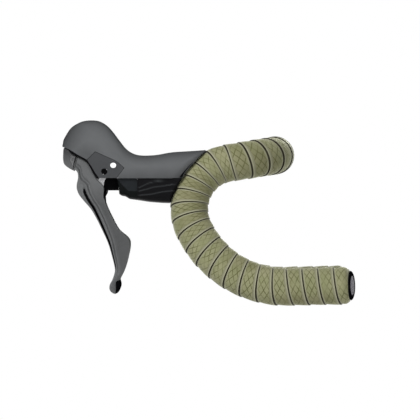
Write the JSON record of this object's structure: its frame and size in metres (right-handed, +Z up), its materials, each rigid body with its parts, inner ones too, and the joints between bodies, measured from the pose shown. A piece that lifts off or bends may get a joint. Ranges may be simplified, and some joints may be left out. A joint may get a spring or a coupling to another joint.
{
  "type": "taped drop handlebar with brake levers",
  "caption": "Drop handlebar wound with patterned grip tape, with end plugs and a hinged brake and shift lever in a rubber hood on each side.",
  "frame": {"origin": "middle of the straight top of the bar, on its axis, where a stem clamps it", "axes": "+X rearward towards the rider, +Y to the rider's right along the straight top, +Z up"},
  "size_m": [0.2633, 0.4988, 0.1662],
  "materials": {
    "bar": "satin black",
    "tape": "matte olive with a lattice",
    "finish_tape": "matte black",
    "plug": "gloss black",
    "plug_disc": "satin grey",
    "hood": "matte grey rubber",
    "cheek": "satin grey",
    "black_plastic": "satin black",
    "cap": "gloss black",
    "cover": "satin dark grey",
    "boot": "glossy black rubber",
    "blade": "satin grey",
    "alloy_part": "bare alloy",
    "steel": "plain steel",
    "axle": "black",
    "pin": "bright"
  },
  "bodies": {
    "bar": {"handlebar": "bar", "left_bar_tape": "tape", "left_finish_tape": "finish_tape", "left_end_plug": "plug", "left_plug_disc": "plug_disc", "left_hood": "hood", "left_cheek_outer": "cheek", "left_cheek_inner": "cheek", "left_lever_body": "black_plastic", "left_clamp_band": "steel", "left_clamp_bolt": "steel", "left_pivot_axle": "axle", "left_shift_block": "black_plastic", "left_bracket_cover": "cover", "left_lower_boot": "boot", "left_cheek_pin": "pin", "right_bar_tape": "tape", "right_finish_tape": "finish_tape", "right_end_plug": "plug", "right_plug_disc": "plug_disc", "right_hood": "hood", "right_cheek_outer": "cheek", "right_cheek_inner": "cheek", "right_lever_body": "black_plastic", "right_clamp_band": "steel", "right_clamp_bolt": "steel", "right_pivot_axle": "axle", "right_shift_block": "black_plastic", "right_bracket_cover": "cover", "right_lower_boot": "boot", "right_cheek_pin": "pin"},
    "left_carrier": {"left_carrier": "alloy_part", "left_front_cap": "cap", "left_shift_axle": "steel"},
    "left_blade": {"left_brake_blade": "blade"},
    "left_paddle": {"left_shift_paddle": "black_plastic"},
    "right_carrier": {"right_carrier": "alloy_part", "right_front_cap": "cap", "right_shift_axle": "steel"},
    "right_blade": {"right_brake_blade": "blade"},
    "right_paddle": {"right_shift_paddle": "black_plastic"}
  },
  "joints": [
    {"name": "left_brake_pivot", "type": "hinge", "parent": "bar", "child": "left_carrier", "pos_m": [-0.15379, -0.20256, -0.0146], "axis": [0, -1, 0], "range_deg": [0, 25], "stiffness_Nm_per_rad": 1, "springref_deg": -17.19},
    {"name": "left_shift_swing", "type": "hinge", "parent": "left_carrier", "child": "left_blade", "pos_m": [-0.15379, -0.20256, -0.0146], "axis": [0.9323, 0, -0.3616], "range_deg": [0, 10], "stiffness_Nm_per_rad": 0.5, "springref_deg": -17.19},
    {"name": "left_paddle_swing", "type": "hinge", "parent": "left_blade", "child": "left_paddle", "pos_m": [-0.15379, -0.20256, -0.0146], "axis": [0.9323, 0, -0.3616], "range_deg": [0, 8], "stiffness_Nm_per_rad": 0.3, "springref_deg": -17.19},
    {"name": "right_brake_pivot", "type": "hinge", "parent": "bar", "child": "right_carrier", "pos_m": [-0.15379, 0.20256, -0.0146], "axis": [0, -1, 0], "range_deg": [0, 25], "stiffness_Nm_per_rad": 1, "springref_deg": -17.19},
    {"name": "right_shift_swing", "type": "hinge", "parent": "right_carrier", "child": "right_blade", "pos_m": [-0.15379, 0.20256, -0.0146], "axis": [-0.9323, 0, 0.3616], "range_deg": [0, 10], "stiffness_Nm_per_rad": 0.5, "springref_deg": -17.19},
    {"name": "right_paddle_swing", "type": "hinge", "parent": "right_blade", "child": "right_paddle", "pos_m": [-0.15379, 0.20256, -0.0146], "axis": [-0.9323, 0, 0.3616], "range_deg": [0, 8], "stiffness_Nm_per_rad": 0.3, "springref_deg": -17.19}
  ]
}
